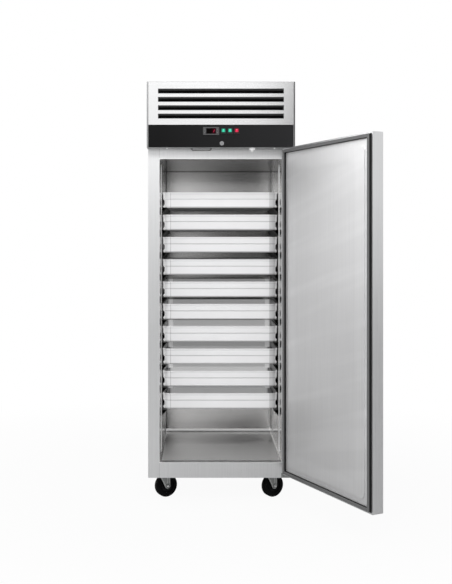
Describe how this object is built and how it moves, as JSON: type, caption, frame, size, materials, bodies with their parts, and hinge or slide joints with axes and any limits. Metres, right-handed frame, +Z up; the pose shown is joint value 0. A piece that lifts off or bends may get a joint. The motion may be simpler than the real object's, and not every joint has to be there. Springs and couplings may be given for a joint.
{
  "type": "pastry refrigerator",
  "caption": "Upright stainless one-door refrigerator on castors, with a louvred top unit, a black control panel and white dough boxes on runners.",
  "frame": {"origin": "on the floor, under the centre of the cabinet body", "axes": "+Z up; the door side faces -Y; +X is to the right as seen from the front"},
  "size_m": [1.0329, 1.4735, 2.072],
  "materials": {
    "stainless": "satin",
    "liner_steel": "satin",
    "black_panel": "satin",
    "foam": "matte",
    "trim_plastic": "matte",
    "dough_box_plastic": "satin",
    "runner_steel": "satin",
    "zinc": "satin",
    "thermostat_plastic": "satin",
    "smoked_window": "gloss",
    "switch_black": "gloss",
    "switch_green": "gloss",
    "switch_red": "gloss",
    "lock_chrome": "polished",
    "white_plastic": "satin",
    "gasket_rubber": "matte",
    "castor_rubber": "satin",
    "compressor_black": "satin",
    "fin_metal": "satin",
    "copper": "satin"
  },
  "bodies": {
    "cabinet": {"outer_shell": "stainless", "body_insulation": "foam", "interior_liner": "liner_steel", "front_frame": "stainless", "thermal_break": "trim_plastic", "base_pan": "zinc", "rack_uprights": "liner_steel", "tray_runners": "runner_steel", "top_casing": "stainless", "roof_panel": "stainless", "louvre_panel": "stainless", "control_panel": "black_panel", "thermostat_case": "thermostat_plastic", "thermostat_window": "smoked_window", "switch_housings": "switch_black", "lock_barrel": "lock_chrome", "lamp_housing": "stainless", "door_switch": "white_plastic", "panel_screws": "white_plastic", "hinge_brackets": "zinc", "castor_plates": "zinc", "compressor": "compressor_black", "condenser": "fin_metal", "fan_shroud": "zinc", "evaporator_coil": "copper", "refrigerant_pipes": "copper", "cable_gland": "trim_plastic"},
    "door": {"door_skin": "stainless", "door_liner": "liner_steel", "door_foam": "foam", "door_gasket": "gasket_rubber", "door_grip": "trim_plastic", "hinge_bushes": "white_plastic"},
    "condenser_fan": {"condenser_fan": "trim_plastic"},
    "lock_core": {"lock_core": "lock_chrome"},
    "dough_box_1": {"dough_box_1": "dough_box_plastic"},
    "dough_box_2": {"dough_box_2": "dough_box_plastic"},
    "dough_box_3": {"dough_box_3": "dough_box_plastic"},
    "dough_box_4": {"dough_box_4": "dough_box_plastic"},
    "dough_box_5": {"dough_box_5": "dough_box_plastic"},
    "dough_box_6": {"dough_box_6": "dough_box_plastic"},
    "dough_box_7": {"dough_box_7": "dough_box_plastic"},
    "dough_box_8": {"dough_box_8": "dough_box_plastic"},
    "dough_box_9": {"dough_box_9": "dough_box_plastic"},
    "dough_box_10": {"dough_box_10": "dough_box_plastic"},
    "thermostat_key_1": {"thermostat_key_1": "thermostat_plastic"},
    "thermostat_key_2": {"thermostat_key_2": "thermostat_plastic"},
    "thermostat_key_3": {"thermostat_key_3": "thermostat_plastic"},
    "thermostat_key_4": {"thermostat_key_4": "thermostat_plastic"},
    "light_rocker": {"light_rocker": "switch_green"},
    "fan_rocker": {"fan_rocker": "switch_green"},
    "power_rocker": {"power_rocker": "switch_red"},
    "castor_fork_front_left": {"castor_fork_front_left": "zinc"},
    "castor_wheel_front_left": {"castor_wheel_front_left": "castor_rubber"},
    "castor_fork_front_right": {"castor_fork_front_right": "zinc"},
    "castor_wheel_front_right": {"castor_wheel_front_right": "castor_rubber"},
    "castor_fork_rear_left": {"castor_fork_rear_left": "zinc"},
    "castor_wheel_rear_left": {"castor_wheel_rear_left": "castor_rubber"},
    "castor_fork_rear_right": {"castor_fork_rear_right": "zinc"},
    "castor_wheel_rear_right": {"castor_wheel_rear_right": "castor_rubber"}
  },
  "joints": [
    {"name": "door_hinge", "type": "hinge", "parent": "cabinet", "child": "door", "pos_m": [0.34, -0.438, 0.947], "axis": [0, 0, 1], "range_deg": [-116.3, 43.7]},
    {"name": "dough_box_1_slide", "type": "slide", "parent": "cabinet", "child": "dough_box_1", "axis": [0, -1, 0], "range_m": [0, 0.62]},
    {"name": "dough_box_2_slide", "type": "slide", "parent": "cabinet", "child": "dough_box_2", "axis": [0, -1, 0], "range_m": [0, 0.62]},
    {"name": "dough_box_3_slide", "type": "slide", "parent": "cabinet", "child": "dough_box_3", "axis": [0, -1, 0], "range_m": [0, 0.62]},
    {"name": "dough_box_4_slide", "type": "slide", "parent": "cabinet", "child": "dough_box_4", "axis": [0, -1, 0], "range_m": [0, 0.62]},
    {"name": "dough_box_5_slide", "type": "slide", "parent": "cabinet", "child": "dough_box_5", "axis": [0, -1, 0], "range_m": [0, 0.62]},
    {"name": "dough_box_6_slide", "type": "slide", "parent": "cabinet", "child": "dough_box_6", "axis": [0, -1, 0], "range_m": [0, 0.62]},
    {"name": "dough_box_7_slide", "type": "slide", "parent": "cabinet", "child": "dough_box_7", "axis": [0, -1, 0], "range_m": [0, 0.62]},
    {"name": "dough_box_8_slide", "type": "slide", "parent": "cabinet", "child": "dough_box_8", "axis": [0, -1, 0], "range_m": [0, 0.62]},
    {"name": "dough_box_9_slide", "type": "slide", "parent": "cabinet", "child": "dough_box_9", "axis": [0, -1, 0], "range_m": [0, 0.62]},
    {"name": "dough_box_10_slide", "type": "slide", "parent": "cabinet", "child": "dough_box_10", "axis": [0, -1, 0], "range_m": [0, 0.62]},
    {"name": "thermostat_key_1_push", "type": "slide", "parent": "cabinet", "child": "thermostat_key_1", "axis": [0, 1, 0], "range_m": [0, 0.0007], "stiffness_N_per_m": 300},
    {"name": "thermostat_key_2_push", "type": "slide", "parent": "cabinet", "child": "thermostat_key_2", "axis": [0, 1, 0], "range_m": [0, 0.0007], "stiffness_N_per_m": 300},
    {"name": "thermostat_key_3_push", "type": "slide", "parent": "cabinet", "child": "thermostat_key_3", "axis": [0, 1, 0], "range_m": [0, 0.0007], "stiffness_N_per_m": 300},
    {"name": "thermostat_key_4_push", "type": "slide", "parent": "cabinet", "child": "thermostat_key_4", "axis": [0, 1, 0], "range_m": [0, 0.0007], "stiffness_N_per_m": 300},
    {"name": "light_rocker_tip", "type": "hinge", "parent": "cabinet", "child": "light_rocker", "pos_m": [0.0122, -0.452, 1.8305], "axis": [1, 0, 0], "range_deg": [-14, 0]},
    {"name": "fan_rocker_tip", "type": "hinge", "parent": "cabinet", "child": "fan_rocker", "pos_m": [0.0447, -0.452, 1.8305], "axis": [1, 0, 0], "range_deg": [-14, 0]},
    {"name": "power_rocker_tip", "type": "hinge", "parent": "cabinet", "child": "power_rocker", "pos_m": [0.0772, -0.452, 1.8305], "axis": [1, 0, 0], "range_deg": [-14, 0]},
    {"name": "lock_turn", "type": "hinge", "parent": "cabinet", "child": "lock_core", "pos_m": [0.0044, -0.455, 1.77], "axis": [0, 1, 0], "range_deg": [0, 90]},
    {"name": "condenser_fan_spin", "type": "hinge", "parent": "cabinet", "child": "condenser_fan", "pos_m": [-0.13, -0.275, 1.91], "axis": [0, 1, 0], "continuous": true},
    {"name": "castor_swivel_front_left", "type": "hinge", "parent": "cabinet", "child": "castor_fork_front_left", "pos_m": [-0.294, -0.302, 0.125], "axis": [0, 0, 1], "continuous": true},
    {"name": "castor_roll_front_left", "type": "hinge", "parent": "castor_fork_front_left", "child": "castor_wheel_front_left", "pos_m": [-0.27634, -0.29261, 0.057], "axis": [-0.4695, 0.8829, 0], "continuous": true},
    {"name": "castor_swivel_front_right", "type": "hinge", "parent": "cabinet", "child": "castor_fork_front_right", "pos_m": [0.246, -0.302, 0.125], "axis": [0, 0, 1], "continuous": true},
    {"name": "castor_roll_front_right", "type": "hinge", "parent": "castor_fork_front_right", "child": "castor_wheel_front_right", "pos_m": [0.26366, -0.29261, 0.057], "axis": [-0.4695, 0.8829, 0], "continuous": true},
    {"name": "castor_swivel_rear_left", "type": "hinge", "parent": "cabinet", "child": "castor_fork_rear_left", "pos_m": [-0.294, 0.302, 0.125], "axis": [0, 0, 1], "continuous": true},
    {"name": "castor_roll_rear_left", "type": "hinge", "parent": "castor_fork_rear_left", "child": "castor_wheel_rear_left", "pos_m": [-0.27634, 0.31139, 0.057], "axis": [-0.4695, 0.8829, 0], "continuous": true},
    {"name": "castor_swivel_rear_right", "type": "hinge", "parent": "cabinet", "child": "castor_fork_rear_right", "pos_m": [0.246, 0.302, 0.125], "axis": [0, 0, 1], "continuous": true},
    {"name": "castor_roll_rear_right", "type": "hinge", "parent": "castor_fork_rear_right", "child": "castor_wheel_rear_right", "pos_m": [0.26366, 0.31139, 0.057], "axis": [-0.4695, 0.8829, 0], "continuous": true}
  ]
}
